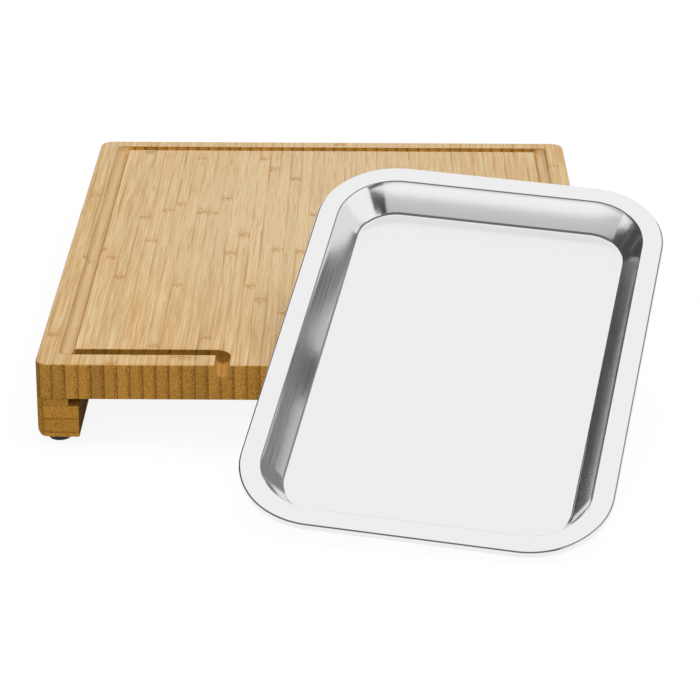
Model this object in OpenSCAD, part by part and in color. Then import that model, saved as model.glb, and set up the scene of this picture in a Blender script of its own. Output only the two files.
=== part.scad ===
// Cutting board with drawer trays.
// A panel of upright bamboo strips stands on two laminated side rails. Each rail has an open
// slot under the panel, and the rims of two drawn steel trays run in the slots like drawers.
// One tray is docked at the back of the bay. The other is lifted out and leans on the board.
// Origin: plan centre of the board, at the level of the table. +X right, +Y back, +Z up.

/* [Board] */
// Width of the board, across the two rails
board_w = 300; // [280:1:308]
// Depth of the board, front to back
board_d = 390; // [360:1:420]
// Thickness of the panel
panel_t = 19.7; // [17:0.1:24]
// Radius of the four corners, seen from above
corner_r = 8; // [5:0.5:10]
// Size of the eased edge round the top
edge_ease = 1.2; // [0.6:0.1:2]

/* [Strips] */
// Width of one bamboo strip of the panel
strip_w = 6.8; // [6.7:0.1:9]
// Width left of the first strip after the panel was cut to size
first_strip_w = 2.4; // [1:0.1:6]

/* [Juice groove] */
// Radius of the round-nose cutter that made the groove and the drains
groove_r = 4; // [3:0.1:4.5]
// Side and back edges to the middle of the groove
groove_inset = 15.4; // [14:0.1:18]
// Front edge to the middle of the groove
groove_front_inset = 17.5; // [16:0.1:20]
// Radius of the turn from the groove into a drain, along its middle
groove_turn_r = 5; // [4.7:0.1:6]
// Middle of the board to the middle of each drain
drain_offset = 51.8; // [30:0.1:80]
// How much deeper than the groove a drain is at the front face
drain_drop = 2.8; // [1:0.1:4]
// How much smaller the radius of the cutter of the drains is
drain_step = 0.2; // [0.1:0.1:0.5]

/* [Rails] */
// Width of a rail
rail_w = 22.5; // [20:0.1:28]
// Depth of the tray slot, sideways into the rail
slot_depth = 5.3; // [4:0.1:7]
// Height of the tray slot, which is the thickness of the spacer strip
slot_h = 4; // [3.8:0.1:6]
// Height of the runner strip that carries the rim
runner_h = 7.4; // [5:0.1:9]
// Height of the core strip under the runner
core_h = 7.7; // [6.5:0.1:10]
// Height of the base strip
base_h = 2.5; // [1.5:0.1:4]
// Thickness of the upright facing strip on the outer face
facing_t = 3.3; // [2:0.1:5]
// How far below the top of the runner the facing strip stops
facing_drop = 1.9; // [1:0.1:4]
// Radius of the outer bottom edge of a rail
rail_round = 4; // [2:0.1:5]

/* [Feet] */
// Radius of a rubber foot
foot_r = 6; // [5:0.1:7]
// Height of a rubber foot
foot_h = 4.5; // [4.5:0.1:8]
// Radius of the rounded bottom edge of a foot
foot_edge_r = 1.4; // [0.8:0.1:1.6]
// Ends of the board to the middle of a foot
foot_inset = 10.5; // [8.5:0.5:30]
// Thickness of the rubber that the screw head presses on
foot_web = 1.8; // [1.2:0.1:2.4]
// Radius of the foot screw
screw_r = 1.4; // [1:0.1:1.8]
// Radius of the head of the foot screw
screw_head_r = 2.5; // [2.2:0.1:2.8]
// Height of the head of the foot screw
screw_head_h = 1.5; // [1:0.1:1.8]
// Length of the screw that bites into the rail
screw_bite = 8; // [5:0.1:8.4]

/* [Tray] */
// Depth of a tray, from the top of its rim to its floor
tray_depth = 15.7; // [12:0.1:18]
// Thickness of the steel sheet
sheet_t = 0.7; // [0.5:0.1:1]
// Outer corner radius of the rim
tray_corner_r = 42.4; // [34:0.1:60]
// Width of the flat rim
rim_w = 10.4; // [8:0.1:12]
// Height of the hem that is turned down round the rim
hem_h = 3.1; // [2.2:0.1:3.3]
// Radius of the bend between rim and hem, on the outside
hem_bend_r = 1.3; // [1.1:0.1:1.6]
// Radius of the bend between rim and wall, on the inside
rim_bend_r = 1.2; // [1:0.1:3]
// Radius of the bend between wall and floor, on the inside
floor_bend_r = 2.4; // [1.5:0.1:5]
// Slope of the walls, in degrees off upright
wall_draft = 32.5; // [15:0.5:36]
// Play between the hem and the bottom of each slot, sideways
side_play = 1.1; // [0.5:0.1:2]
// Gap between the hem and the runner under it
hem_gap = 0.3; // [0.2:0.05:0.5]
// Ends of the bay to the hem of the nearest docked tray
tray_end_inset = 3.5; // [2:0.1:8]
// Gap between two docked trays
tray_between = 7; // [3:0.1:12]

/* [Leaning tray] */
// Turn of the leaning tray, seen from above, in degrees
lean_turn = -12.5; // [-20:0.1:-6]
// Slope of the leaning tray along its length, in degrees
lean_angle = 23.8; // [18:0.1:28]
// Slope of the leaning tray across its width, in degrees
lean_roll = 2.4; // [0:0.1:4]
// Middle of the leaning tray, to the right of the middle of the board
lean_x = 70.8; // [50:0.1:90]
// Gap between the leaning tray and what it rests on
lean_gap = 0.3; // [0.2:0.05:0.6]

/* [Hidden] */
$fn = 96;
// What a cutter reaches past the face that it starts from
past = 1;
// Extra radius and depth of a pilot hole round its screw
pilot_play = 0.05;
// Room round the screw head in the foot
head_play = 0.4;
// Facets of an eased edge
ease_steps = 3;
// Facets of a bend in the sheet
bend_steps = 5;

// Heights above the table
base_z = foot_h;
core_z = base_z + base_h;
runner_z = core_z + core_h;
runner_top = runner_z + runner_h;
facing_top = runner_top - facing_drop;
panel_z = runner_top + slot_h;
top_z = panel_z + panel_t;

spacer_w = rail_w - slot_depth;
strip_count = 1 + ceil((board_w - first_strip_w) / strip_w);

// Tray, from the bay that it fits
tray_l = board_w - 2 * spacer_w - 2 * side_play;
tray_w = (board_d - 2 * tray_end_inset - tray_between) / 2;
rim_z = runner_top + hem_gap + hem_h;
// The wall runs in from the rim: a bend, a straight wall and a second bend
bend_lo = rim_bend_r + floor_bend_r;
wall_h = tray_depth - bend_lo * (1 - sin(wall_draft));
wall_in = wall_h * tan(wall_draft);
floor_inset = rim_w + bend_lo * cos(wall_draft) + wall_in;
floor_corner_r = tray_corner_r - floor_inset;
// The section takes in the edge of the floor, up to a whole number of millimetres
floor_lap = ceil(floor_inset) + 1;

// Pose of the leaning tray. Its lower end stands on the table and its underside rests on the
// front edge of the board, so its height and its distance follow from the three angles.
lean_up = [
    -cos(lean_angle) * sin(lean_roll),
    sin(lean_angle),
    cos(lean_angle) * cos(lean_roll)
];
lean_normal = [
    cos(lean_turn) * sin(lean_roll) + sin(lean_turn) * sin(lean_angle) * cos(lean_roll),
    sin(lean_turn) * sin(lean_roll) - cos(lean_turn) * sin(lean_angle) * cos(lean_roll),
    cos(lean_angle) * cos(lean_roll)
];
lean_slope = norm([lean_up.x, lean_up.y]);
corner_fall = abs(lean_up.x) * (tray_w / 2 - tray_corner_r) + lean_up.y * (tray_l / 2 - tray_corner_r);
floor_fall = floor_corner_r * lean_slope + lean_up.z * (tray_depth - floor_bend_r)
    + floor_bend_r + sheet_t;
hem_fall = tray_corner_r * lean_slope + lean_up.z * hem_h;
lean_z = lean_gap + corner_fall + max(floor_fall, hem_fall);
contact = [
    lean_x - (tray_w / 2 - floor_inset) * cos(lean_turn),
    edge_ease - board_d / 2,
    top_z - edge_ease
];
lean_y = (lean_normal * contact + edge_ease + lean_gap + tray_depth + sheet_t
    - lean_normal.x * lean_x - lean_normal.z * lean_z) / lean_normal.y;

SIDES = ["left", "right"];

function strip_name(i) = str("panel_strip_", i < 9 ? "0" : "", i + 1);
// Left edge of a strip of the panel, from the left side of the board
function strip_x(i) = i == 0 ? 0 : min(board_w, first_strip_w + (i - 1) * strip_w);
// Points on an arc in the XY plane
function arc(centre, r, from, to, steps) = [
    for (k = [0:steps])
        centre + r * [cos(from + (to - from) * k / steps), sin(from + (to - from) * k / steps)]
];

// ---- Board ----

// What is cut away outside a rounded corner at the origin that opens towards +X and +Y
module corner_waste(r) {
    difference() {
        translate([-past, -past]) square(r + past);
        translate([r, r]) circle(r);
    }
}

// Rectangle about the origin with rounded corners
module round_rect(w, d, r) {
    difference() {
        square([w, d], center = true);
        for (x = [0, 1], y = [0, 1])
            mirror([x, 0]) mirror([0, y]) translate([-w / 2, -d / 2]) corner_waste(r);
    }
}

// Section of the cutter that eases the top edge: x is outwards from the edge, y is up
module ease_section() {
    polygon(concat(
        arc([-edge_ease, -edge_ease], edge_ease, 90, 0, ease_steps),
        [[past, -edge_ease], [past, past], [-edge_ease, past]]
    ));
}

// The cutter for one long edge at x = 0
module ease_run(length) {
    rotate([90, 0, 0]) linear_extrude(length, center = true) ease_section();
}

// The cutter for the whole top edge
module top_ease() {
    run_x = board_w - 2 * corner_r;
    run_y = board_d - 2 * corner_r;
    for (a = [0, 180]) rotate([0, 0, a]) {
        translate([board_w / 2, 0, top_z]) ease_run(run_y);
        translate([0, board_d / 2, top_z]) rotate([0, 0, 90]) ease_run(run_x);
    }
    for (a = [0:3]) {
        flip = a % 2 == 1;
        half = [(flip ? board_d : board_w) / 2 - corner_r, (flip ? board_w : board_d) / 2 - corner_r];
        rotate([0, 0, 90 * a]) translate([half.x, half.y, top_z])
            rotate_extrude(angle = 90) translate([corner_r, 0]) ease_section();
    }
}

// The round-nose channel, cut along Y from y = 0 to y = length, with its middle at x = 0
module channel(length) {
    rotate([-90, 0, 0]) cylinder(r = groove_r, h = length);
}

// One half of the juice groove: back, side, front, the turn and the drain, on the right
module half_groove() {
    side_x = board_w / 2 - groove_inset;
    back_y = board_d / 2 - groove_inset;
    front_y = groove_front_inset - board_d / 2;
    turn_x = drain_offset + groove_turn_r;
    turn_y = front_y - groove_turn_r;
    translate([0, 0, top_z]) {
        translate([side_x, front_y, 0]) channel(back_y - front_y);
        translate([side_x, back_y, 0]) rotate([0, 0, 90]) channel(side_x + past);
        translate([side_x, front_y, 0]) rotate([0, 0, 90]) channel(side_x - turn_x);
        for (y = [front_y, back_y]) translate([side_x, y, 0]) sphere(groove_r);
        translate([turn_x, turn_y, 0]) rotate([0, 0, 90]) rotate_extrude(angle = 90)
            translate([groove_turn_r, 0]) circle(groove_r);
        translate([drain_offset, turn_y, 0]) {
            rotate([0, 0, 180]) channel(groove_front_inset - groove_turn_r + past);
            drain(groove_front_inset - groove_turn_r);
        }
    }
}

// The sloping cut of a drain, by a narrower cutter. It starts in the groove at y = 0 and is
// drain_drop deeper than the groove at the front face, y = -run.
module drain(run) {
    slope = atan(drain_drop / run);
    r = groove_r - drain_step;
    translate([0, 0, -drain_step]) rotate([slope, 0, 0]) rotate([90, 0, 0])
        linear_extrude(run / cos(slope) + 2 * r) {
            circle(r);
            translate([-r, 0]) square([2 * r, drain_drop + 2 * past]);
        }
}

// One strip of the panel, with its share of the groove, the drains and the eased edge
module panel_strip(i) {
    color("burlywood") difference() {
        intersection() {
            translate([0, 0, panel_z]) linear_extrude(panel_t) round_rect(board_w, board_d, corner_r);
            translate([strip_x(i) - board_w / 2, -board_d, 0])
                cube([strip_x(i + 1) - strip_x(i), 2 * board_d, 2 * top_z]);
        }
        top_ease();
        half_groove();
        mirror([1, 0, 0]) half_groove();
    }
}

// ---- Rails ----

// A lamination of the left rail. Its section, given as a child, has x inwards from the outer
// face and y above the table. The plan corners and the rounded bottom edge are cut after.
module rail_piece(shade) {
    color(shade) difference() {
        intersection() {
            translate([-board_w / 2, 0, 0]) rotate([90, 0, 0])
                linear_extrude(board_d, center = true) children();
            linear_extrude(top_z) round_rect(board_w, board_d, corner_r);
        }
        translate([-board_w / 2, 0, base_z]) rotate([90, 0, 0])
            linear_extrude(board_d + 2 * past, center = true) corner_waste(rail_round);
    }
}

// Puts what is made for the left rail on either rail
module on_side(side) {
    mirror([side == "left" ? 0 : 1, 0, 0]) children();
}

module at_foot(end) {
    translate([rail_w / 2 - board_w / 2, end * (board_d / 2 - foot_inset), 0]) children();
}

module pilot_holes() {
    for (end = [-1, 1]) at_foot(end) translate([0, 0, base_z - past])
        cylinder(r = screw_r + pilot_play, h = past + screw_bite + pilot_play);
}

module facing_strip() {
    rail_piece("tan") translate([0, base_z]) square([facing_t, facing_top - base_z]);
}

// The spacer sets the depth of the slot, and laps down over the edge of the runner
module spacer_strip() {
    rail_piece("burlywood") {
        translate([0, runner_top]) square([spacer_w, slot_h]);
        translate([0, facing_top]) square([facing_t, facing_drop]);
    }
}

module runner_strip() {
    rail_piece("tan") translate([facing_t, runner_z]) square([rail_w - facing_t, runner_h]);
}

module core_strip() {
    difference() {
        rail_piece("burlywood") translate([facing_t, core_z]) square([rail_w - facing_t, core_h]);
        pilot_holes();
    }
}

module base_strip() {
    difference() {
        rail_piece("tan") translate([facing_t, base_z]) square([rail_w - facing_t, base_h]);
        pilot_holes();
    }
}

// ---- Feet ----

module foot() {
    bore_r = screw_r + pilot_play;
    recess_r = screw_head_r + head_play;
    recess_top = foot_h - foot_web;
    rotate_extrude() polygon(concat(
        [[recess_r, 0]],
        arc([foot_r - foot_edge_r, foot_edge_r], foot_edge_r, -90, 0, 2 * ease_steps),
        [[foot_r, foot_h], [bore_r, foot_h], [bore_r, recess_top], [recess_r, recess_top]]
    ));
}

// Pan-head screw with a cross recess, its head up against the web of the foot
module foot_screw() {
    head_z = foot_h - foot_web - screw_head_h;
    slot_w = screw_head_r / 3;
    difference() {
        union() {
            translate([0, 0, head_z]) cylinder(r = screw_head_r, h = screw_head_h);
            translate([0, 0, head_z]) cylinder(r = screw_r, h = base_z + screw_bite - head_z);
        }
        for (a = [0, 90]) rotate([0, 0, a])
            cube([screw_head_r * 1.3, slot_w, 2 * (head_z + screw_head_h / 2)], center = true);
    }
}

module all_feet() {
    for (side = SIDES, end = [-1, 1]) on_side(side) at_foot(end) children();
}

module rubber_feet() {
    color("#26262a") all_feet() foot();
}

module foot_screws() {
    color("silver") all_feet() foot_screw();
}

// ---- Trays ----

// Section through rim, wall and the edge of the floor: x is 0 at the hem and falls inwards, y is
// 0 at the rim's top. The first half runs along the inside of the tray, the second half back.
module tray_section() {
    hem_centre = [-hem_bend_r, -hem_bend_r];
    rim_centre = [-rim_w, -rim_bend_r];
    floor_centre = [-floor_inset, floor_bend_r - tray_depth];
    polygon(concat(
        [[0, -hem_h]],
        arc(hem_centre, hem_bend_r, 0, 90, bend_steps),
        arc(rim_centre, rim_bend_r, 90, 180 - wall_draft, bend_steps),
        arc(floor_centre, floor_bend_r, -wall_draft, -90, bend_steps),
        [[-floor_lap, -tray_depth], [-floor_lap, -tray_depth - sheet_t]],
        arc(floor_centre, floor_bend_r + sheet_t, -90, -wall_draft, bend_steps),
        arc(rim_centre, rim_bend_r - sheet_t, 180 - wall_draft, 90, bend_steps),
        arc(hem_centre, hem_bend_r - sheet_t, 90, 0, bend_steps),
        [[-sheet_t, -hem_h]]
    ));
}

// A drawn tray about the origin, long side along X, with the top of its rim at z = 0
module tray() {
    straight = [tray_l - 2 * tray_corner_r, tray_w - 2 * tray_corner_r];
    for (turn = [0:3]) rotate([0, 0, 90 * turn]) {
        along = turn % 2 == 0 ? straight.y : straight.x;
        across = turn % 2 == 0 ? tray_l : tray_w;
        translate([across / 2, 0, 0]) rotate([90, 0, 0])
            linear_extrude(along, center = true) tray_section();
        translate([across / 2 - tray_corner_r, along / 2, 0])
            rotate_extrude(angle = 90) translate([tray_corner_r, 0]) tray_section();
    }
    translate([0, 0, -tray_depth - sheet_t]) linear_extrude(sheet_t)
        round_rect(tray_l - 2 * floor_lap, tray_w - 2 * floor_lap, tray_corner_r - floor_lap);
}

module docked_tray() {
    color("gainsboro")
        translate([0, board_d / 2 - tray_end_inset - tray_w / 2, rim_z]) tray();
}

module leaning_tray() {
    color("gainsboro")
        translate([lean_x, lean_y, lean_z])
            rotate([0, 0, lean_turn]) rotate([lean_angle, 0, 0]) rotate([0, lean_roll, 0])
                rotate([0, 0, 90]) tray();
}

for (i = [0:strip_count - 1])
    panel_strip(i);
for (side = SIDES) on_side(side) {
    facing_strip();
    spacer_strip();
    runner_strip();
    core_strip();
    base_strip();
}
rubber_feet();
foot_screws();
leaning_tray();
docked_tray();
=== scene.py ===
"""Cutting board with drawer trays, dressed for its photograph.

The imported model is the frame, and this script gives it its looks. The bamboo strips, the rails,
the feet and the screws keep their solids and get materials. The two drawn trays are made again
as smooth sheets in the same place. All sizes are in millimetres until a mesh is made.
"""

import logging
import math
from dataclasses import dataclass, replace
from enum import Enum
from typing import Any, Mapping, Optional, Sequence

import bmesh
import bpy
from mathutils import Matrix, Vector


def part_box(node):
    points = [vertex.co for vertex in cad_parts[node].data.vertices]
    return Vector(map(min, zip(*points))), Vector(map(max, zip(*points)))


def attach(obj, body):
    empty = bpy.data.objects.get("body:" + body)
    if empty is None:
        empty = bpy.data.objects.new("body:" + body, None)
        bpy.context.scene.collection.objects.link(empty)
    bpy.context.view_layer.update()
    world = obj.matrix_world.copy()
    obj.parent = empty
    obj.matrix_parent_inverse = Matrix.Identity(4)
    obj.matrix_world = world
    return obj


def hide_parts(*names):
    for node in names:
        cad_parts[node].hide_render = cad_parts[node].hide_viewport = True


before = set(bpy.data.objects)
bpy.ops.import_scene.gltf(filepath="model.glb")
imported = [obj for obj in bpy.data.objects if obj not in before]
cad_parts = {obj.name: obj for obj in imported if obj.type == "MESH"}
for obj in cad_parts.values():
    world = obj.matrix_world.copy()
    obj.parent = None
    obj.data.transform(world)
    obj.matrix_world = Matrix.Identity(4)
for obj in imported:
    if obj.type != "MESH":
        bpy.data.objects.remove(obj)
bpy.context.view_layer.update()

MM = 0.001
logging.basicConfig(level=logging.INFO, format="%(message)s")
log = logging.getLogger("cutting_board")

Point = tuple[float, float]
Colour = tuple[float, float, float, float]
Grains = Mapping[str, bpy.types.Node]

# The settings of a range node that eases in and out
SMOOTH = {"interpolation_type": "SMOOTHSTEP"}


def srgb(code: str) -> Colour:
    """Turns an sRGB colour into the linear colour that a shader takes.

    Args:
        code: six hex digits, with or without a # before them.

    Returns:
        Linear red, green and blue, and an alpha of 1.
    """
    digits = code.lstrip("#")
    parts = [int(digits[k : k + 2], 16) / 255 for k in (0, 2, 4)]
    line = [c / 12.92 if c <= 0.04045 else ((c + 0.055) / 1.055) ** 2.4 for c in parts]
    return (line[0], line[1], line[2], 1.0)


class Node(Enum):
    """The kinds of node in the materials, by what they do."""

    PLACE = "ShaderNodeTexCoord"
    ATTRIBUTE = "ShaderNodeAttribute"
    MATH = "ShaderNodeMath"
    VECTOR = "ShaderNodeVectorMath"
    SPLIT = "ShaderNodeSeparateXYZ"
    SPLIT_COLOUR = "ShaderNodeSeparateColor"
    RANGE = "ShaderNodeMapRange"
    MIX = "ShaderNodeMix"
    RAMP = "ShaderNodeValToRGB"
    CHANCE = "ShaderNodeTexWhiteNoise"
    NOISE = "ShaderNodeTexNoise"
    CELLS = "ShaderNodeTexVoronoi"
    TONE = "ShaderNodeHueSaturation"
    BUMP = "ShaderNodeBump"
    SURFACE = "ShaderNodeBsdfPrincipled"
    MATT = "ShaderNodeBsdfDiffuse"
    GLOW = "ShaderNodeEmission"
    SKY = "ShaderNodeBackground"
    RAY = "ShaderNodeLightPath"
    BLEND = "ShaderNodeMixShader"
    SUM = "ShaderNodeAddShader"
    OUT = "ShaderNodeOutputMaterial"
    SKY_OUT = "ShaderNodeOutputWorld"


def add(
    tree: bpy.types.NodeTree,
    kind: Node | str,
    inputs: Optional[Mapping[Any, Any]] = None,
    stops: Sequence[tuple[float, str]] = (),
    **settings: Any,
) -> bpy.types.Node:
    """Adds a node with its settings and links.

    Args:
        tree: the tree that the node goes into.
        kind: the kind of node, or Blender's name for it.
        inputs: what goes into each input, by its name or number: a value, an output to link, or
            a node whose first working output is linked.
        stops: the places and colours of a colour ramp.
        settings: the node's own settings.

    Returns:
        The new node.
    """
    node = tree.nodes.new(kind.value if isinstance(kind, Node) else kind)
    for name, value in settings.items():
        setattr(node, name, value)
    for key, value in (inputs or {}).items():
        if isinstance(value, bpy.types.Node):
            value = next(o for o in value.outputs if o.enabled)
        if isinstance(value, bpy.types.NodeSocket):
            tree.links.new(value, node.inputs[key])
        else:
            node.inputs[key].default_value = value
    if stops:
        ramp = node.color_ramp.elements
        while len(ramp) < len(stops):
            ramp.new(0.5)
        for element, (place, code) in zip(ramp, stops):
            element.position = place
            element.color = srgb(code)
    return node


def blank_material(name: str) -> tuple[bpy.types.Material, bpy.types.NodeTree]:
    """Makes a material with an empty node tree.

    Args:
        name: the material's name.

    Returns:
        The material and its tree.
    """
    material = bpy.data.materials.new(name)
    material.use_nodes = True
    material.node_tree.nodes.clear()
    return material, material.node_tree


def new_object(name: str, data: bpy.types.ID) -> bpy.types.Object:
    """Makes an object and links it to the scene.

    Args:
        name: the object's name.
        data: its mesh, lamp or camera.

    Returns:
        The object.
    """
    made = bpy.data.objects.new(name, data)
    bpy.context.scene.collection.objects.link(made)
    return made


def dress(node: str, material: bpy.types.Material) -> None:
    """Gives a CAD node its material.

    Args:
        node: the node's name.
        material: what its faces get.
    """
    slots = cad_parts[node].data.materials
    slots.clear()
    slots.append(material)
    log.info("%s: %s", node, material.name)


# ---- Finishes ----


@dataclass(frozen=True)
class GluePlane:
    """A glue joint that shows as a thin dark line.

    x is taken without its sign, because the right rail mirrors the left one.
    """

    axis: str
    place: float


@dataclass(frozen=True)
class Grain:
    """Noise for one kind of mark: its size across, along and down the slats, in millimetres."""

    size: tuple[float, float, float]
    detail: float = 2.0
    roughness: float = 0.55


@dataclass(frozen=True)
class Slat:
    """What the material knows of the slat that a point is in. All fields are outputs of nodes."""

    mm: bpy.types.Node
    x: bpy.types.NodeSocket
    y: bpy.types.NodeSocket
    z: bpy.types.NodeSocket
    across: bpy.types.Node
    side: bpy.types.Node
    shift: bpy.types.Node
    draws: Sequence[bpy.types.NodeSocket]


@dataclass(frozen=True)
class Bamboo:
    """Pressed bamboo, planed, sanded and oiled.

    Slats of bamboo are glued side by side. Along the slats the eye sees long straight fibres, thin
    glue lines and a small speckled knuckle where the cane had a joint. Across the ends it sees
    honey-brown end grain with the dark dots of the fibre bundles.
    """

    name: str
    pitch: float = 6.8
    start: float = -147.6
    seed: float = 0.0
    glue: tuple[GluePlane, ...] = ()
    pale: str = "#DEC292"
    middle: str = "#D1AE77"
    deep: str = "#C59650"
    fibre: str = "#C08941"
    # Painted sheen: the next colour is a broad highlight painted on the middle of the top
    wear_and_sheen: str = "#DBC299"
    knuckle: str = "#B47A36"
    glue_line: str = "#A87433"
    end_pale: str = "#C89242"
    end_middle: str = "#A6752C"
    end_deep: str = "#7C5317"
    end_glue: str = "#765018"
    # Painted shade: the next colour darkens the groove's front run, partly for the cutter's burn,
    # and the one after it browns the drains and one wall of each side run
    burnt_and_shaded: str = "#B4AE74"
    routed_and_shaded: str = "#C08C3E"
    # How far apart the grain of two slats can lie, how far apart a slat's knuckles are and how
    # ragged, and how far apart the fibre bundles are
    apart: float = 97.0
    knuckle_gap: float = 235.0
    ragged: float = 9.0
    bundle: float = 1.4
    # Shares: how much the slats differ in tone, and how many times more on the ends, how much
    # painted light pales the groove, how much painted shade browns the drains and side walls, and
    # how well the glue shows on the ends
    tone: float = 0.035
    end_swing: float = 3.8
    groove_light_share: float = 0.45
    groove_shade_share: float = 0.85
    end_glue_share: float = 0.65
    end_roughness: float = 0.95
    roughness: float = 0.5
    gloss: float = 0.4
    # The painted sheen, a broad highlight: one over its half width and half length, and a shift
    # that puts its middle 52 mm behind the board's
    sheen_scale: tuple[float, float, float] = (1 / 150, 1 / 210, 0.0)
    sheen_shift: tuple[float, float, float] = (0.0, -0.25, 0.0)
    # The board's rounded corners start outside these, and the groove's cutter stays inside them
    inner_x: float = 141.9
    inner_y: float = 193.0
    end_y: float = 194.9
    top: float = 45.8
    eased: float = 1.3
    reach: float = 7.5
    front_run: float = -171.0
    ramp_start: float = -183.0
    corner_start: float = 130.0
    # How wide the groove's zones blend, and the depths between which a face turns into a cut one
    blur: float = 2.0
    sunk: tuple[float, float] = (0.1, 0.6)
    # Streaks are 0.5 mm wide. Fibres are drawn 0.4 mm wide where real ones are 0.2 mm, and fibre
    # bundles 1.4 mm apart where real ones are 0.5 mm, because those are too fine to show
    streaks: Grain = Grain((0.5, 60.0, 4.0), 2.0, 0.6)
    fibres: Grain = Grain((0.4, 26.0, 1.6))
    clouds: Grain = Grain((2.4, 60.0, 9.0))
    specks: Grain = Grain((1.6, 4.5, 1.6), 2.0, 0.7)
    dots: Grain = Grain((0.8, 3.0, 0.8), 1.0, 0.6)
    mottles: Grain = Grain((0.9, 40.0, 0.9), 2.0, 0.6)
    fading: Grain = Grain((9.0, 70.0, 9.0), 1.0)

    def slat(self, t: bpy.types.NodeTree, place: bpy.types.Node) -> Slat:
        """Finds the slat that a point is in, and draws three random numbers for it.

        Args:
            t: the material's tree.
            place: its texture coordinate node.

        Returns:
            The nodes that know the slat.
        """
        mm = add(t, Node.VECTOR, {0: place.outputs["Object"], "Scale": 1 / MM}, operation="SCALE")
        x, y, z = add(t, Node.SPLIT, {0: mm}).outputs
        from_left = add(t, Node.MATH, {0: x, 1: self.start}, operation="SUBTRACT")
        across = add(t, Node.MATH, {0: from_left, 1: self.pitch}, operation="DIVIDE")
        number = add(t, Node.MATH, {0: across}, operation="FLOOR")
        seeded = add(t, Node.MATH, {0: number, 1: self.seed}, operation="ADD")
        chance = add(t, Node.CHANCE, {"W": seeded}, noise_dimensions="1D")
        return Slat(
            mm=mm,
            x=x,
            y=y,
            z=z,
            across=across,
            side=add(t, Node.MATH, {0: across}, operation="FRACT"),
            shift=add(
                t, Node.VECTOR, {0: chance.outputs["Color"], "Scale": self.apart}, operation="SCALE"
            ),
            draws=list(add(t, Node.SPLIT_COLOUR, {0: chance.outputs["Color"]}).outputs),
        )

    def grains(self, t: bpy.types.NodeTree, slat: Slat) -> Grains:
        """Lays each kind of grain along the slats, afresh for each slat.

        Args:
            t: the material's tree.
            slat: what is known of the slat.

        Returns:
            The noise nodes by the names of the fields that they come from.
        """
        made = {}
        for name in ("streaks", "fibres", "clouds", "specks", "dots", "mottles", "fading"):
            grain = getattr(self, name)
            size = [1 / s for s in grain.size]
            laid = add(
                t, Node.VECTOR, {0: slat.mm, 1: size, 2: slat.shift}, operation="MULTIPLY_ADD"
            )
            look = {
                "Vector": laid,
                "Scale": 1.0,
                "Detail": grain.detail,
                "Roughness": grain.roughness,
            }
            made[name] = add(t, Node.NOISE, look)
        return made

    def knuckles(
        self, t: bpy.types.NodeTree, slat: Slat, grain: Grains
    ) -> tuple[bpy.types.Node, bpy.types.Node]:
        """Where the knuckle of a slat shows: a ragged dotted row, and smudges for 14 mm behind it.

        Args:
            t: the material's tree.
            slat: what is known of the slat.
            grain: the noise nodes.

        Returns:
            The shares of the row and of the smudges, from 0 to 1.
        """
        turns = add(
            t,
            Node.MATH,
            {0: slat.y, 1: 1 / self.knuckle_gap, 2: slat.draws[1]},
            operation="MULTIPLY_ADD",
        )
        turn = add(t, Node.MATH, {0: turns}, operation="FRACT")
        off = add(t, Node.RANGE, {0: turn, 3: -self.knuckle_gap / 2, 4: self.knuckle_gap / 2})
        speck = grain["specks"]
        waved = add(t, Node.MATH, {0: speck, 1: 2 * self.ragged, 2: off}, operation="MULTIPLY_ADD")
        centred = add(t, Node.MATH, {0: waved, 1: self.ragged}, operation="SUBTRACT")
        away = add(t, Node.MATH, {0: centred}, operation="ABSOLUTE")
        row = add(t, Node.RANGE, {0: away, 1: 0.5, 2: 3.6, 3: 1.0, 4: 0.0}, **SMOOTH)
        dotted = add(t, Node.RANGE, {0: grain["dots"], 1: 0.38, 2: 0.6, 3: 0.1, 4: 0.95})
        rise = add(t, Node.RANGE, {0: off, 1: -5.0, 2: 0.0}, **SMOOTH)
        fall = add(t, Node.RANGE, {0: off, 1: 4.0, 2: 14.0, 3: 1.0, 4: 0.0}, **SMOOTH)
        zone = add(t, Node.MATH, {0: rise, 1: fall}, operation="MULTIPLY")
        smudge = add(t, Node.RANGE, {0: speck, 1: 0.46, 2: 0.6, 3: 0.0, 4: 0.55}, **SMOOTH)
        return (
            add(t, Node.MATH, {0: row, 1: dotted}, operation="MULTIPLY"),
            add(t, Node.MATH, {0: zone, 1: smudge}, operation="MULTIPLY"),
        )

    def long_face(self, t: bpy.types.NodeTree, slat: Slat, grain: Grains) -> bpy.types.Node:
        """The colour along the slats: streaks, fibres, darker edges, knuckles and a painted sheen.

        Args:
            t: the material's tree.
            slat: what is known of the slat.
            grain: the noise nodes.

        Returns:
            The node that gives the colour.
        """
        both = add(
            t, Node.MIX, {0: 0.4, 2: grain["streaks"], 3: grain["clouds"]}, data_type="FLOAT"
        )
        stops = [(0.36, self.deep), (0.49, self.middle), (0.6, self.pale)]
        face = add(t, Node.RAMP, {0: both}, stops=stops)
        # Painted sheen: a broad highlight makes the middle of the board a little paler
        spot = add(
            t,
            Node.VECTOR,
            {0: slat.mm, 1: self.sheen_scale, 2: self.sheen_shift},
            operation="MULTIPLY_ADD",
        )
        out = add(t, Node.VECTOR, {0: spot}, operation="LENGTH")
        sheen = add(
            t, Node.RANGE, {0: out.outputs["Value"], 1: 0.3, 2: 1.15, 3: 0.62, 4: 0.0}, **SMOOTH
        )
        face = add(t, Node.MIX, {0: sheen, 6: face, 7: srgb(self.wear_and_sheen)}, data_type="RGBA")
        share = add(
            t, Node.RANGE, {0: grain["fibres"], 1: 0.54, 2: 0.68, 3: 0.0, 4: 0.75}, **SMOOTH
        )
        face = add(t, Node.MIX, {0: share, 6: face, 7: srgb(self.fibre)}, data_type="RGBA")
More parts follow.
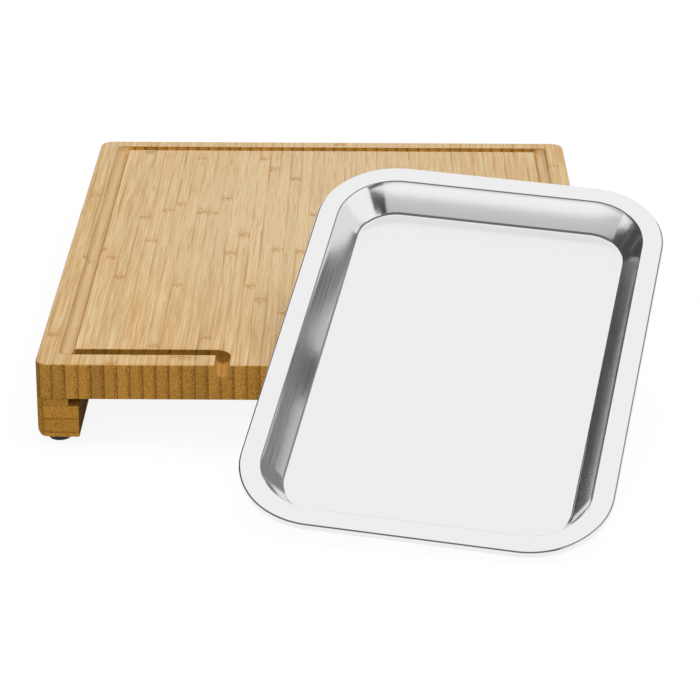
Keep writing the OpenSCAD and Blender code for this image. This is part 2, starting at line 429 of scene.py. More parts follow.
        # Towards its left edge, where the skin of the cane was, a slat is browner in stretches
        skin = add(t, Node.RANGE, {0: slat.side, 1: 0.0, 2: 0.28, 3: 1.0, 4: 0.0}, **SMOOTH)
        stretch = add(
            t, Node.RANGE, {0: grain["fading"], 1: 0.42, 2: 0.62, 3: 0.0, 4: 0.6}, **SMOOTH
        )
        browned = add(t, Node.MATH, {0: skin, 1: stretch}, operation="MULTIPLY")
        face = add(t, Node.MIX, {0: browned, 6: face, 7: srgb(self.fibre)}, data_type="RGBA")
        row, smudge = self.knuckles(t, slat, grain)
        face = add(t, Node.MIX, {0: smudge, 6: face, 7: srgb(self.fibre)}, data_type="RGBA")
        return add(t, Node.MIX, {0: row, 6: face, 7: srgb(self.knuckle)}, data_type="RGBA")

    def end_face(self, t: bpy.types.NodeTree, slat: Slat, grain: Grains) -> bpy.types.Node:
        """The colour across the ends: dots of the fibre bundles, that crowd to one side of a slat.

        Args:
            t: the material's tree.
            slat: what is known of the slat.
            grain: the noise nodes.

        Returns:
            The node that gives the colour.
        """
        crowd = add(t, Node.RANGE, {0: slat.side, 1: 0.55, 2: 1.0, 3: 0.62, 4: 0.32}, **SMOOTH)
        both = add(t, Node.MIX, {0: 0.5, 2: grain["mottles"], 3: crowd}, data_type="FLOAT")
        stops = [(0.34, self.end_deep), (0.5, self.end_middle), (0.66, self.end_pale)]
        end = add(t, Node.RAMP, {0: both}, stops=stops)
        laid = add(
            t,
            Node.VECTOR,
            {0: slat.mm, 1: (1 / self.bundle, 0.02, 1 / self.bundle)},
            operation="MULTIPLY",
        )
        bundles = add(
            t, Node.CELLS, {"Vector": laid, "Scale": 1.0, "Randomness": 0.55}, feature="F1"
        )
        share = add(
            t,
            Node.RANGE,
            {0: bundles.outputs["Distance"], 1: 0.15, 2: 0.55, 3: 0.8, 4: 0.0},
            **SMOOTH,
        )
        return add(t, Node.MIX, {0: share, 6: end, 7: srgb(self.end_pale)}, data_type="RGBA")

    def glue_share(self, t: bpy.types.NodeTree, slat: Slat) -> bpy.types.Node:
        """How much of the glue line shows at a point, from 0 to 1.

        The line fades out 0.6 mm to either side. A real one is 0.2 mm wide, too fine to show.

        Args:
            t: the material's tree.
            slat: what is known of the slat.

        Returns:
            The node that gives the share.
        """
        nearest = add(t, Node.MATH, {0: slat.across}, operation="ROUND")
        off = add(t, Node.MATH, {0: slat.across, 1: nearest}, operation="SUBTRACT")
        beside = add(t, Node.MATH, {0: off}, operation="ABSOLUTE")
        gap = add(t, Node.MATH, {0: beside, 1: self.pitch}, operation="MULTIPLY")
        for plane in self.glue:
            along = add(
                t, Node.MATH, {0: slat.x if plane.axis == "x" else slat.z}, operation="ABSOLUTE"
            )
            off = add(t, Node.MATH, {0: along, 1: plane.place}, operation="SUBTRACT")
            beside = add(t, Node.MATH, {0: off}, operation="ABSOLUTE")
            gap = add(t, Node.MATH, {0: gap, 1: beside}, operation="MINIMUM")
        return add(t, Node.RANGE, {0: gap, 1: 0.1, 2: 0.6, 3: 1.0, 4: 0.0}, **SMOOTH)

    def cuts(
        self, t: bpy.types.NodeTree, slat: Slat, place: bpy.types.Node
    ) -> tuple[bpy.types.Node, ...]:
        """Where a face lies across the slats, where the groove is cut, and where it has painted
        shade.

        Args:
            t: the material's tree.
            slat: what is known of the slat.
            place: its texture coordinate node.

        Returns:
            The shares, from 0 to 1, of end grain, of the front run's painted shade and burn, of the
            painted shade in the drains and on the inner wall of the side runs, and of being cut at
            all.
        """
        normal = add(t, Node.SPLIT, {0: place.outputs["Normal"]})
        across = add(t, Node.MATH, {0: normal.outputs[1]}, operation="ABSOLUTE")
        from_middle = [
            add(t, Node.MATH, {0: axis}, operation="ABSOLUTE")
            for axis in (slat.x, slat.y)
        ]
        in_x = add(t, Node.MATH, {0: from_middle[0], 1: self.inner_x}, operation="LESS_THAN")
        # Under the eased edge a drain runs out to the end face itself
        low = add(t, Node.MATH, {0: slat.z, 1: self.top - self.eased}, operation="LESS_THAN")
        limit = add(t, Node.MIX, {0: low, 2: self.inner_y, 3: self.end_y}, data_type="FLOAT")
        in_y = add(t, Node.MATH, {0: from_middle[1], 1: limit}, operation="LESS_THAN")
        inside = add(t, Node.MATH, {0: in_x, 1: in_y}, operation="MULTIPLY")
        # On the eased edge the long fibres still show where it is level more than upright
        level = add(t, Node.MATH, {0: normal.outputs[2]}, operation="ABSOLUTE")
        lost = add(t, Node.RANGE, {0: level, 1: 0.4, 2: 0.7, 3: 0.0, 4: 0.6})
        lost = add(t, Node.MIX, {0: inside, 2: lost, 3: 0.0}, data_type="FLOAT")
        shown = add(t, Node.MATH, {0: across, 1: lost}, operation="SUBTRACT")
        cut = add(t, Node.RANGE, {0: shown, 1: 0.03, 2: 0.3, 3: 0.0, 4: 1.0}, **SMOOTH)
        # The front run gets painted shade, partly for the cutter's burn
        begun, whole = (self.top - depth for depth in self.sunk)
        sunk = add(t, Node.RANGE, {0: slat.z, 1: whole, 2: begun, 3: 1.0, 4: 0.0})
        in_reach = add(
            t, Node.MATH, {0: slat.z, 1: self.top - self.reach}, operation="GREATER_THAN"
        )
        sunk = add(t, Node.MATH, {0: sunk, 1: in_reach}, operation="MULTIPLY")
        routed_and_shaded = add(t, Node.MATH, {0: inside, 1: sunk}, operation="MULTIPLY")
        in_front = add(t, Node.MATH, {0: slat.y, 1: self.front_run}, operation="LESS_THAN")
        held = add(
            t,
            Node.RANGE,
            {0: slat.y, 1: self.ramp_start - self.blur, 2: self.ramp_start + self.blur},
            **SMOOTH,
        )
        burn_and_shade_run = add(t, Node.MATH, {0: in_front, 1: held}, operation="MULTIPLY")
        rounded = self.corner_start + 2 * self.blur
        turned = add(
            t, Node.RANGE, {0: from_middle[0], 1: self.corner_start, 2: rounded, 3: 1.0, 4: 0.1}
        )
        burn_and_shade_run = add(t, Node.MATH, {0: burn_and_shade_run, 1: turned}, operation="MULTIPLY")
        burn_and_shade = add(t, Node.MATH, {0: routed_and_shaded, 1: burn_and_shade_run}, operation="MULTIPLY")
        kept = add(t, Node.MIX, {0: routed_and_shaded, 2: 1.0, 3: turned}, data_type="FLOAT")
        crossed = add(t, Node.MATH, {0: cut, 1: kept}, operation="MULTIPLY")
        crossed = add(t, Node.MATH, {0: crossed, 1: burn_and_shade}, operation="MAXIMUM")
        # Painted shade in the drains, and on the wall of a side run that faces away from the middle
        # of the board
        drained = add(t, Node.MATH, {0: slat.y, 1: self.ramp_start}, operation="LESS_THAN")
        facing = add(t, Node.MATH, {0: slat.x}, operation="SIGN")
        outwards = add(t, Node.MATH, {0: facing, 1: normal.outputs[0]}, operation="MULTIPLY")
        inner = add(t, Node.RANGE, {0: outwards, 1: 0.3, 2: 0.7, 3: 0.0, 4: 1.2}, **SMOOTH)
        groove_shade_zones = add(t, Node.MATH, {0: drained, 1: inner}, operation="MAXIMUM")
        tan = add(t, Node.MATH, {0: routed_and_shaded, 1: groove_shade_zones}, operation="MULTIPLY")
        return crossed, burn_and_shade, tan, routed_and_shaded

    def material(self) -> bpy.types.Material:
        """Builds the material.

        Returns:
            The finished material.
        """
        material, t = blank_material(self.name)
        place = add(t, Node.PLACE)
        slat = self.slat(t, place)
        grain = self.grains(t, slat)
        face = self.long_face(t, slat, grain)
        end = self.end_face(t, slat, grain)
        cut, burn_and_shade, tan, groove_light = self.cuts(t, slat, place)
        # Painted light: the groove is made paler, as if lit like the top
        share = add(t, Node.MATH, {0: groove_light, 1: self.groove_light_share}, operation="MULTIPLY")
        face = add(t, Node.MIX, {0: share, 6: face, 7: srgb(self.pale)}, data_type="RGBA")
        colour = add(t, Node.MIX, {0: cut, 6: face, 7: end}, data_type="RGBA")
        # Painted shade: the drains and one wall of each side run are browned
        share = add(t, Node.MATH, {0: tan, 1: self.groove_shade_share}, operation="MULTIPLY")
        colour = add(t, Node.MIX, {0: share, 6: colour, 7: srgb(self.routed_and_shaded)}, data_type="RGBA")
        # Painted shade, partly the cutter's burn: the front run is darkened
        colour = add(
            t,
            Node.MIX,
            {0: burn_and_shade, 6: colour, 7: srgb(self.burnt_and_shaded)},
            data_type="RGBA",
            blend_type="MULTIPLY",
        )
        # Along the slats only some glue lines show, and only in stretches
        line = self.glue_share(t, slat)
        faded = add(
            t, Node.RANGE, {0: grain["fading"], 1: 0.45, 2: 0.68, 3: 0.0, 4: 0.75}, **SMOOTH
        )
        shown = add(t, Node.MIX, {0: cut, 2: faded, 3: self.end_glue_share}, data_type="FLOAT")
        share = add(t, Node.MATH, {0: line, 1: shown}, operation="MULTIPLY")
        glue = add(
            t, Node.MIX, {0: cut, 6: srgb(self.glue_line), 7: srgb(self.end_glue)}, data_type="RGBA"
        )
        colour = add(t, Node.MIX, {0: share, 6: colour, 7: glue}, data_type="RGBA")
        # Each slat has its own tone, which shows most on the ends
        swing = add(
            t, Node.MIX, {0: cut, 2: self.tone, 3: self.end_swing * self.tone}, data_type="FLOAT"
        )
        drawn = add(t, Node.RANGE, {0: slat.draws[0], 3: -1.0, 4: 1.0})
        value = add(t, Node.MATH, {0: swing, 1: drawn, 2: 1.0}, operation="MULTIPLY_ADD")
        colour = add(t, Node.TONE, {"Value": value, "Color": colour})
        relief = add(t, Node.MATH, {0: grain["fibres"], 1: line}, operation="ADD")
        bump = add(
            t, Node.BUMP, {"Strength": 0.25, "Distance": 0.0001, "Height": relief}, invert=True
        )
        rough = add(
            t,
            Node.RANGE,
            {
                0: grain["streaks"],
                1: 0.3,
                2: 0.7,
                3: self.roughness - 0.05,
                4: self.roughness + 0.08,
            },
        )
        # End grain drinks the oil and stays matt
        rough = add(t, Node.MIX, {0: cut, 2: rough, 3: self.end_roughness}, data_type="FLOAT")
        look = {
            "Base Color": colour,
            "Roughness": rough,
            "IOR": 1.46,
            "Specular IOR Level": self.gloss,
            "Normal": bump,
        }
        shader = add(t, Node.SURFACE, look)
        add(t, Node.OUT, {0: shader})
        return material


@dataclass(frozen=True)
class SatinSteel:
    """Stainless steel sheet, deep drawn and fine satin polished.

    It mirrors its surroundings softly. The polishing leaves lines along the long side that only
    break up the edges of a reflection.
    """

    name: str = "satin_drawn_steel"
    base: str = "#EEEEEE"
    roughness: float = 0.13
    line_pitch: float = 0.8
    attribute: str = "sheet"

    def material(self) -> bpy.types.Material:
        """Builds the material.

        Returns:
            The finished material.
        """
        material, t = blank_material(self.name)
        place = add(t, Node.ATTRIBUTE, attribute_name=self.attribute, attribute_type="GEOMETRY")
        # Polishing lines, drawn 0.8 mm apart where real ones are 0.1 mm, which is too fine to show
        lines = add(
            t,
            Node.VECTOR,
            {0: place.outputs["Vector"], 1: (1 / 60.0, 1 / self.line_pitch, 1 / self.line_pitch)},
            operation="MULTIPLY",
        )
        polish = add(
            t, Node.NOISE, {"Vector": lines, "Scale": 1.0, "Detail": 3.0, "Roughness": 0.6}
        )
        # The drawn sheet is never quite flat: swells some 40 mm across
        swell = add(
            t, Node.NOISE, {"Vector": place.outputs["Vector"], "Scale": 1 / 40.0, "Detail": 1.0}
        )
        rough = add(
            t,
            Node.RANGE,
            {0: polish, 1: 0.3, 2: 0.7, 3: self.roughness - 0.03, 4: self.roughness + 0.05},
        )
        flat = add(t, Node.BUMP, {"Strength": 0.5, "Distance": 0.0002, "Height": swell})
        fine = add(
            t,
            Node.BUMP,
            {"Strength": 0.05, "Distance": 0.00004, "Height": polish, "Normal": flat},
        )
        shader = add(
            t,
            Node.SURFACE,
            {"Base Color": srgb(self.base), "Metallic": 1.0, "Roughness": rough, "Normal": fine},
        )
        add(t, Node.OUT, {0: shader})
        return material


@dataclass(frozen=True)
class ZincSteel:
    """Steel screw, cold headed and zinc plated: a dull grey shine with small spots."""

    name: str = "zinc_plated_steel"
    pale: str = "#B9BCC0"
    dull: str = "#93979C"
    spot: float = 0.7

    def material(self) -> bpy.types.Material:
        """Builds the material.

        Returns:
            The finished material.
        """
        material, t = blank_material(self.name)
        place = add(t, Node.PLACE)
        spots = add(
            t,
            Node.NOISE,
            {"Vector": place.outputs["Object"], "Scale": 1 / (self.spot * MM), "Detail": 3.0},
        )
        colour = add(t, Node.RAMP, {0: spots}, stops=[(0.35, self.dull), (0.65, self.pale)])
        rough = add(t, Node.RANGE, {0: spots, 3: 0.28, 4: 0.45})
        shader = add(t, Node.SURFACE, {"Base Color": colour, "Metallic": 1.0, "Roughness": rough})
        add(t, Node.OUT, {0: shader})
        return material


@dataclass(frozen=True)
class MouldedRubber:
    """Black rubber, compression moulded: matt, with a fine grit that greys it in specks."""

    name: str = "moulded_black_rubber"
    base: str = "#1C1C1E"
    wear_and_sheen: str = "#2B2B2D"
    grit: float = 0.5

    def material(self) -> bpy.types.Material:
        """Builds the material.

        Returns:
            The finished material.
        """
        material, t = blank_material(self.name)
        place = add(t, Node.PLACE)
        grit = add(
            t,
            Node.NOISE,
            {
                "Vector": place.outputs["Object"],
                "Scale": 1 / (self.grit * MM),
                "Detail": 4.0,
                "Roughness": 0.6,
            },
        )
        colour = add(t, Node.RAMP, {0: grit}, stops=[(0.4, self.base), (0.7, self.wear_and_sheen)])
        bump = add(t, Node.BUMP, {"Strength": 0.3, "Distance": 0.0001, "Height": grit})
        shader = add(
            t,
            Node.SURFACE,
            {"Base Color": colour, "Roughness": 0.72, "IOR": 1.52, "Normal": bump},
        )
        add(t, Node.OUT, {0: shader})
        return material


# ---- Sub-assemblies ----


@dataclass
class Panel:
    """The top of upright bamboo strips."""

    width: float = 300.0
    strip: float = 6.8
    first_strip: float = 2.4

    def build(self) -> None:
        """Dresses every strip with one solid bamboo, so that the grain runs through the groove."""
        finish = Bamboo(
            "pressed_bamboo_panel",
            pitch=self.strip,
            start=self.first_strip - self.width / 2,
        )
        material = finish.material()
        for name in sorted(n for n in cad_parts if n.startswith("panel_strip_")):
            dress(name, material)


class Lamination(Enum):
    """The laminations of a rail, with the heights of their glued faces and their seed."""

    FACING = ("facing_strip", (4.5, 20.2), 11.0)
    SPACER = ("spacer_strip", (20.2, 26.1), 12.0)
    RUNNER = ("runner_strip", (14.7, 22.1), 13.0)
    CORE = ("core_strip", (7.0, 14.7), 14.0)
    BASE = ("base_strip", (4.5, 7.0), 15.0)


@dataclass
class Rails:
    """The two laminated side rails with the tray slots between their laminations."""

    half_width: float = 150.0
    facing: float = 3.3
    # Heights where two laminations meet, the top of the facing among them
    heights: tuple[float, ...] = (7.0, 14.7, 20.2, 22.1, 26.1)
    # A lamination is one slat, wider than the whole board, so that no joint shows in it
    one_slat: float = 1000.0
    # Behind the facing the laminations are rough and get painted shade, darker for the shade under
    # the board: their pale, middle and deep
    under_board_shade: tuple[str, str, str] = ("#A07536", "#8A6126", "#6C4816")

    def build(self) -> None:
        """Dresses each kind of lamination with its own cut of bamboo."""
        for lamination in Lamination:
            kind, (low, high), seed = lamination.value
            planes = [GluePlane("z", h) for h in (low, high) if h in self.heights]
            planes.append(GluePlane("x", self.half_width - self.facing))
            finish = Bamboo(
                f"laminated_bamboo_{kind}",
                pitch=self.one_slat,
                start=-self.one_slat / 2,
                seed=seed,
                glue=tuple(planes),
                tone=0.03,
                roughness=0.8,
                gloss=0.05,
            )
            # Painted shade: the laminations behind the facing lie under the board and are made
            # darker
            if lamination is not Lamination.FACING:
                pale, middle, deep = self.under_board_shade
                finish = replace(
                    finish, pale=pale, middle=middle, deep=deep, fibre=deep, wear_and_sheen=middle
                )
            material = finish.material()
            for side in ("left", "right"):
                dress(f"{side}_{kind}", material)


@dataclass
class Feet:
    """The rubber feet and their screws."""

    rubber: MouldedRubber = MouldedRubber()
    steel: ZincSteel = ZincSteel()

    def build(self) -> None:
        """Dresses the feet and the screws."""
        dress("rubber_feet", self.rubber.material())
        dress("foot_screws", self.steel.material())


class Place(Enum):
    """Where a tray is at rest."""

    DOCKED = "docked_tray"
    LEANING = "leaning_tray"


@dataclass
class DrawnTray:
    """A tray drawn from one steel sheet: floor, sloping walls, flat rim and a hem turned down.

    The section through the sheet is swept round the rounded oblong of the rim by Geometry Nodes.
    """

    length: float = 263.4
    width: float = 188.0
    corner: float = 42.4
    depth: float = 15.7
    sheet: float = 0.7
    rim: float = 10.4
    hem: float = 3.1
    hem_bend: float = 1.3
    rim_bend: float = 1.2
    floor_bend: float = 2.4
    # Angles in degrees: the slope of the walls, and how the leaning tray lies
    draft: float = 32.5
    turn: float = -12.5
    slope: float = 23.8
    roll: float = 2.4
    support: float = 0.3
    floor_lap: float = 3.0
    hollow: float = 0.25
    crease_angle: float = 35.0
    weld: float = 0.001
    corner_steps: int = 36
    bend_steps: int = 8
    wall_steps: int = 8

    def floor_inset(self) -> float:
        """How far the edge of the floor is in from the hem.

        Returns:
            The distance in millimetres.
        """
        angle = math.radians(self.draft)
        bends = self.rim_bend + self.floor_bend
        wall = self.depth - bends * (1 - math.sin(angle))
        return self.rim + bends * math.cos(angle) + wall * math.tan(angle)

    def arc(self, centre: Point, radius: float, start: float, end: float) -> list[Point]:
        """Points on a bend of the section.

        Args:
            centre: the middle of the bend.
            radius: its radius.
            start: the angle that it starts at, in degrees.
            end: the angle that it ends at.

        Returns:
            The points, ends included.
        """
        steps = range(self.bend_steps + 1)
        turns = [math.radians(start + (end - start) * k / self.bend_steps) for k in steps]
        return [(centre[0] + radius * math.cos(a), centre[1] + radius * math.sin(a)) for a in turns]

    def face(self, inset: float) -> list[Point]:
        """One face of the sheet, from the hem to the floor, with a point close to each bend.

        The points close to a bend keep the flat parts flat when the mesh is shaded smooth.

        Args:
            inset: how far the face is under the inside of the tray: 0, or the sheet's thickness.

        Returns:
            Points with x outwards from the hem and y up from the rim.
        """
        edge = self.floor_inset()
        hem = self.arc((-self.hem_bend, -self.hem_bend), self.hem_bend - inset, 0, 90)
        rim = self.arc((-self.rim, -self.rim_bend), self.rim_bend - inset, 90, 180 - self.draft)
        foot = self.arc(
            (-edge, self.floor_bend - self.depth), self.floor_bend + inset, -self.draft, -90
        )
        level = -self.depth - inset
        near = self.support
        return [
            (-inset, -self.hem),
            *hem,
            (hem[-1][0] - near, -inset),
            (rim[0][0] + near, -inset),
            *rim,
            *self.wall(rim[-1], foot[0]),
            *foot,
            (-edge - near, level),
            (-edge - self.floor_lap, level),
        ]

    def wall(self, top: Point, bottom: Point) -> list[Point]:
        """The wall between its two bends, very slightly hollow.

        The solid's wall is flat. The hollow is there for the looks: a flat wall mirrors one
        direction only, and this one shades from the floor to the rim.

        Args:
            top: where the wall leaves the rim's bend.
            bottom: where it meets the floor's bend.

        Returns:
            Points between the two.
        """
        lean = math.radians(self.draft)
        points = []
        for k in range(1, self.wall_steps):
            share = k / self.wall_steps
            out = 4 * self.hollow * share * (1 - share)
            x = top[0] + (bottom[0] - top[0]) * share + out * math.cos(lean)
            y = top[1] + (bottom[1] - top[1]) * share - out * math.sin(lean)
            points.append((x, y))
        return points

    def section(self) -> list[Point]:
        """The whole section: from the floor out to the hem, and back along the underside."""
        return self.face(0.0)[::-1] + self.face(self.sheet)

    def tree(self) -> bpy.types.GeometryNodeTree:
        """The nodes that sweep a section round a rounded oblong.

        Returns:
            The tree. Its inputs are the section's points and edges, the sizes of the oblong and
            the material.
        """
        t = bpy.data.node_groups.new("section_round_the_rim", "GeometryNodeTree")
        t.is_modifier = True
        face = t.interface
        face.new_socket("Section", in_out="INPUT", socket_type="NodeSocketGeometry")
        for name in ("Length", "Width", "Corner Radius"):
            face.new_socket(name, in_out="INPUT", socket_type="NodeSocketFloat")
        face.new_socket("Corner Steps", in_out="INPUT", socket_type="NodeSocketInt")
        face.new_socket("Material", in_out="INPUT", socket_type="NodeSocketMaterial")
        face.new_socket("Sheet", in_out="OUTPUT", socket_type="NodeSocketGeometry")
        given = add(t, "NodeGroupInput").outputs
        oblong = add(t, "GeometryNodeCurvePrimitiveQuadrilateral", mode="RECTANGLE")
        t.links.new(given["Length"], oblong.inputs["Width"])
        t.links.new(given["Width"], oblong.inputs["Height"])
        upright = add(t, "GeometryNodeSetCurveNormal", {"Curve": oblong}, mode="Z_UP")
        rounded = add(
            t,
            "GeometryNodeFilletCurve",
            {"Curve": upright, "Radius": given["Corner Radius"], "Count": given["Corner Steps"]},
            mode="POLY",
        )
        profile = add(t, "GeometryNodeMeshToCurve", {0: given["Section"]})
        swept = add(
            t,
            "GeometryNodeCurveToMesh",
            {"Curve": rounded, "Profile Curve": profile, "Fill Caps": False},
        )
        angle = add(t, "GeometryNodeInputMeshEdgeAngle")
        crease = add(
            t,
            "FunctionNodeCompare",
            {0: angle, 1: math.radians(self.crease_angle)},
            data_type="FLOAT",
            operation="GREATER_THAN",
        )
        smooth = add(
            t, "GeometryNodeSetShadeSmooth", {0: swept, "Shade Smooth": True}, domain="FACE"
        )
        creased = add(
            t,
            "GeometryNodeSetShadeSmooth",
            {0: smooth, 1: crease, 2: False},
            domain="EDGE",
        )
        here = add(t, "GeometryNodeInputPosition")
        in_mm = add(t, Node.VECTOR, {0: here, "Scale": 1 / MM}, operation="SCALE")
        marked = add(
            t,
            "GeometryNodeStoreNamedAttribute",
            {"Geometry": creased, "Name": SatinSteel.attribute, "Value": in_mm},
            data_type="FLOAT_VECTOR",
            domain="POINT",
        )
        real = add(t, "GeometryNodeRealizeInstances", {0: marked})
        painted = add(
            t, "GeometryNodeSetMaterial", {"Geometry": real, "Material": given["Material"]}
        )
        add(t, "NodeGroupOutput", {0: painted})
        return t

    def sweep(
        self, name: str, tree: bpy.types.GeometryNodeTree, steel: bpy.types.Material
    ) -> bpy.types.Mesh:
        """Runs the tree on the section, closes the floor and gives the plain mesh.

        Args:
            name: the name of the mesh.
            tree: the nodes of tree().
            steel: the material of the sheet.

        Returns:
            The tray about the origin, with its long side along X and its rim's top at z = 0.
        """
        points = [(x * MM, -y * MM, 0.0) for x, y in self.section()]
        strip = bpy.data.meshes.new(name + "_section")
        strip.from_pydata(points, [(k, k + 1) for k in range(len(points) - 1)], [])
        holder = new_object(name + "_section", strip)
        sweeper = holder.modifiers.new("sweep", "NODES")
        sweeper.node_group = tree
        values = {
            "Length": self.length * MM,
            "Width": self.width * MM,
            "Corner Radius": self.corner * MM,
            "Corner Steps": self.corner_steps,
            "Material": steel,
        }
        for socket in tree.interface.items_tree:
            if socket.name in values:
                sweeper[socket.identifier] = values[socket.name]
        bpy.context.view_layer.update()
        graph = bpy.context.evaluated_depsgraph_get()
        mesh = bpy.data.meshes.new_from_object(holder.evaluated_get(graph))
        mesh.name = name
        holder.modifiers.remove(sweeper)
        bpy.data.objects.remove(holder)
        work = bmesh.new()
        work.from_mesh(mesh)
        bmesh.ops.remove_doubles(work, verts=work.verts, dist=self.weld * MM)
        open_edges = [e for e in work.edges if e.is_boundary]
        filled = bmesh.ops.holes_fill(work, edges=open_edges, sides=0)
        for panel in filled["faces"]:
            panel.smooth = True
        bmesh.ops.recalc_face_normals(work, faces=work.faces)
        work.to_mesh(mesh)
        work.free()
        return mesh

    def build(
        self, place: Place, tree: bpy.types.GeometryNodeTree, steel: bpy.types.Material
    ) -> bpy.types.Object:
        """Makes the sheet of one tray and puts it where its CAD node is.

        Args:
            place: which of the two trays.
            tree: the nodes of tree().
            steel: the material of the sheet.

        Returns:
            The finished piece, riding on its body.
        """
        node = place.value
        mesh = self.sweep(node + "_sheet", tree, steel)
        if place is Place.LEANING:
            turned = (
                Matrix.Rotation(math.radians(self.turn), 4, "Z")
                @ Matrix.Rotation(math.radians(self.slope), 4, "X")
                @ Matrix.Rotation(math.radians(self.roll), 4, "Y")
                @ Matrix.Rotation(math.radians(90), 4, "Z")
            )
            mesh.transform(turned)
        low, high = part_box(node)
        middle = (low + high) / 2
        own_low = Vector(min(v.co[k] for v in mesh.vertices) for k in range(3))
        own_high = Vector(max(v.co[k] for v in mesh.vertices) for k in range(3))
        mesh.transform(Matrix.Translation(middle - (own_low + own_high) / 2))
        sheet = new_object(node + "_sheet", mesh)
        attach(sheet, node)
        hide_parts(node)
        log.info("%s: %d faces", sheet.name, len(mesh.polygons))
        return sheet


# ---- Studio ----


@dataclass(frozen=True)
class Lamp:
    """A soft rectangular lamp that looks at a point."""

    name: str
    place: tuple[float, float, float]
    size: tuple[float, float]
    watts: float
    target: tuple[float, float, float] = (0.0, 0.0, 0.03)

    def build(self) -> None:
        """Makes the lamp. It isn't seen in the steel: the white surroundings are."""
        data = bpy.data.lights.new(self.name, "AREA")
        data.shape = "RECTANGLE"
        data.size, data.size_y = self.size
        data.energy = self.watts
        lamp = new_object(self.name, data)
        lamp.location = self.place
        aim = Vector(self.target) - Vector(self.place)
        lamp.rotation_euler = aim.to_track_quat("-Z", "Y").to_euler()
        lamp.visible_glossy = False


@dataclass(frozen=True)
class GreyCard:
    """A grey card that stands round the object, which only the steel sees.

    It is a patch of a ball round the object, from one bearing to another and from one height
    above the horizon to another, in degrees.
    """

    name: str
    bearing: tuple[float, float]
    height: tuple[float, float]
    grey: str
    reach: float = 3.0
    facet: float = 6.0

    def build(self) -> None:
        """Makes the card."""
        first, last = self.bearing
        low, high = self.height
        across = max(2, round((last - first) / self.facet))
        up = max(2, round((high - low) / self.facet))
        points, faces = [], []
        for k in range(up + 1):
            rise = math.radians(low + (high - low) * k / up)
            for j in range(across + 1):
                turn = math.radians(first + (last - first) * j / across)
                out = self.reach * math.cos(rise)
                points.append(
                    (out * math.cos(turn), out * math.sin(turn), self.reach * math.sin(rise))
                )
        for k in range(up):
            for j in range(across):
                corner = k * (across + 1) + j
                faces.append((corner, corner + 1, corner + across + 2, corner + across + 1))
        mesh = bpy.data.meshes.new(self.name)
        mesh.from_pydata(points, [], faces)
        material, t = blank_material(self.name)
        glow = add(t, Node.GLOW, {"Color": srgb(self.grey), "Strength": 1.0})
        add(t, Node.OUT, {0: glow})
        mesh.materials.append(material)
        card = new_object(self.name, mesh)
        card.visible_camera = False
        card.visible_diffuse = False
        card.visible_shadow = False
        card.visible_transmission = False


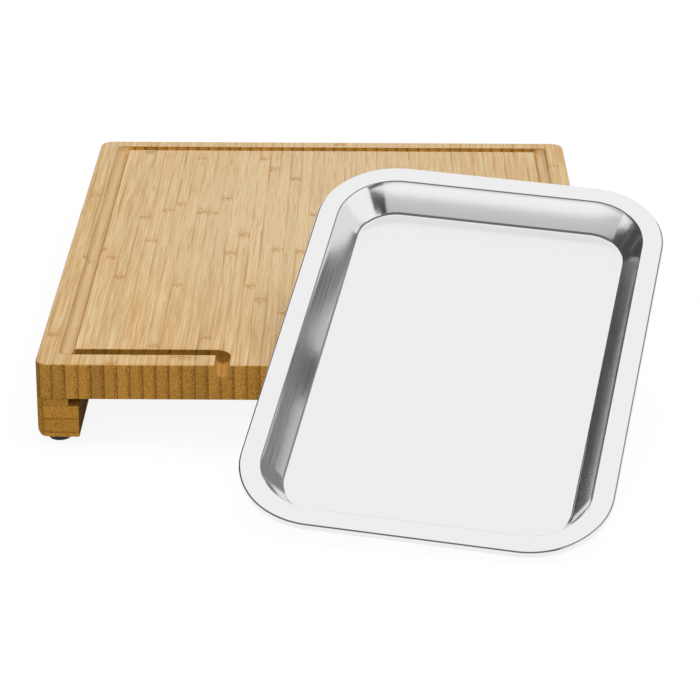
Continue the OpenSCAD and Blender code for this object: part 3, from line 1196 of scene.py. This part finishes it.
@dataclass
class Studio:
    """White floor, white surroundings, soft lamps and grey cards."""

    floor_size: float = 12.0
    white: Colour = (1.0, 1.0, 1.0, 1.0)
    ambient: float = 0.62
    # The floor as light and reflections meet it, and as the eye sees its shadow over its glow
    paper: str = "#787878"
    shade: str = "#606060"
    floor_glow: float = 0.9
    lamps: tuple[Lamp, ...] = (
        Lamp("top_softbox", (0.5, 0.2, 1.9), (1.7, 1.7), 15.0),
        Lamp("front_softbox", (-0.25, -1.9, 0.8), (0.7, 0.9), 12.0),
    )
    # Placed for the front view, where they give the tray's walls their dark and light bands. From
    # other sides the flat steel can mirror a card and look darker
    cards: tuple[GreyCard, ...] = (
        GreyCard("right_card", (-20.0, 52.0), (17.0, 23.5), "#4A4A4A"),
        GreyCard("upper_right_card", (-20.0, 52.0), (23.5, 60.0), "#8E8E8E"),
        GreyCard("left_card", (118.0, 197.0), (6.0, 49.0), "#4C4C4C"),
        GreyCard("upper_left_card", (150.0, 197.0), (49.0, 62.0), "#AAAAAA"),
        GreyCard("front_card", (197.0, 298.0), (10.0, 72.0), "#707070"),
        GreyCard("upper_front_card", (298.0, 340.0), (30.0, 72.0), "#707070"),
        GreyCard("low_front_card", (286.0, 312.0), (0.5, 10.0), "#3A3A3A"),
        GreyCard("pale_front_card", (197.0, 286.0), (0.5, 10.0), "#CCCCCC"),
    )

    def seen(self, t: bpy.types.NodeTree) -> bpy.types.Node:
        """Whether a ray looks at the white: straight on, in a reflection or through something.

        Args:
            t: the tree of the world or of a material.

        Returns:
            The node that gives 1 if it does and 0 if it only carries light.
        """
        ray = add(t, Node.RAY).outputs
        most = ray["Is Camera Ray"]
        for kind in ("Is Glossy Ray", "Is Transmission Ray"):
            most = add(t, Node.MATH, {0: most, 1: ray[kind]}, operation="MAXIMUM")
        return most

    def world(self) -> None:
        """White to the camera and in reflections, softer as light on the object."""
        world = bpy.data.worlds.new("white_studio")
        bpy.context.scene.world = world
        world.use_nodes = True
        t = world.node_tree
        t.nodes.clear()
        seen = self.seen(t)
        light = add(t, Node.SKY, {"Color": self.white, "Strength": self.ambient})
        white = add(t, Node.SKY, {"Color": self.white, "Strength": 1.0})
        both = add(t, Node.BLEND, {0: seen, 1: light, 2: white})
        add(t, Node.SKY_OUT, {0: both})

    def floor(self) -> None:
        """A pale floor that turns white to the eye and still takes the object's shadow."""
        half = self.floor_size / 2
        mesh = bpy.data.meshes.new("pale_floor")
        corners = [(-half, -half, 0), (half, -half, 0), (half, half, 0), (-half, half, 0)]
        mesh.from_pydata(corners, [], [(0, 1, 2, 3)])
        material, t = blank_material("white_paper_floor")
        paper = add(t, Node.MATT, {"Color": srgb(self.paper)})
        shade = add(t, Node.MATT, {"Color": srgb(self.shade)})
        glow = add(t, Node.GLOW, {"Color": self.white, "Strength": self.floor_glow})
        white = add(t, Node.SUM, {0: shade, 1: glow})
        both = add(t, Node.BLEND, {0: self.seen(t), 1: paper, 2: white})
        add(t, Node.OUT, {0: both})
        mesh.materials.append(material)
        floor = new_object("pale_floor", mesh)

    def build(self) -> None:
        """Makes the whole studio."""
        self.world()
        self.floor()
        for lamp in self.lamps:
            lamp.build()
        for card in self.cards:
            card.build()
        bpy.context.scene.view_settings.view_transform = "Standard"


@dataclass
class PhotoCamera:
    """The camera of the photograph, fitted to the edges of the board and the tray."""

    place: tuple[float, float, float] = (24.24, -1520.44, 580.2)
    pitch: float = 21.632
    yaw: float = -0.402
    roll: float = -0.178
    focal_pixels: float = 2742.7
    picture_width: int = 700
    sensor: float = 36.0

    def build(self) -> None:
        """Makes the camera and makes it the scene's."""
        down, turn, tip = (math.radians(a) for a in (self.pitch, self.yaw, self.roll))
        level = math.cos(down)
        ahead = Vector((math.sin(turn) * level, math.cos(turn) * level, -math.sin(down)))
        right = Vector((math.cos(turn), -math.sin(turn), 0.0))
        under = -right.cross(ahead)
        across = math.cos(tip) * right + math.sin(tip) * under
        below = -math.sin(tip) * right + math.cos(tip) * under
        data = bpy.data.cameras.new("photo_camera")
        data.sensor_fit = "HORIZONTAL"
        data.sensor_width = self.sensor
        data.lens = self.focal_pixels * self.sensor / self.picture_width
        data.clip_start, data.clip_end = 0.01, 50.0
        camera = new_object("photo_camera", data)
        turned = Matrix((across, -below, -ahead)).transposed().to_4x4()
        camera.matrix_world = Matrix.Translation(Vector(self.place) * MM) @ turned
        bpy.context.scene.camera = camera


def main() -> None:
    """Builds the parts of the object and the studio in order."""
    PhotoCamera().build()
    Studio().build()
    Panel().build()
    Rails().build()
    Feet().build()
    tray = DrawnTray()
    tree = tray.tree()
    steel = SatinSteel().material()
    for place in Place:
        tray.build(place, tree, steel)


if __name__ == "__main__":
    main()
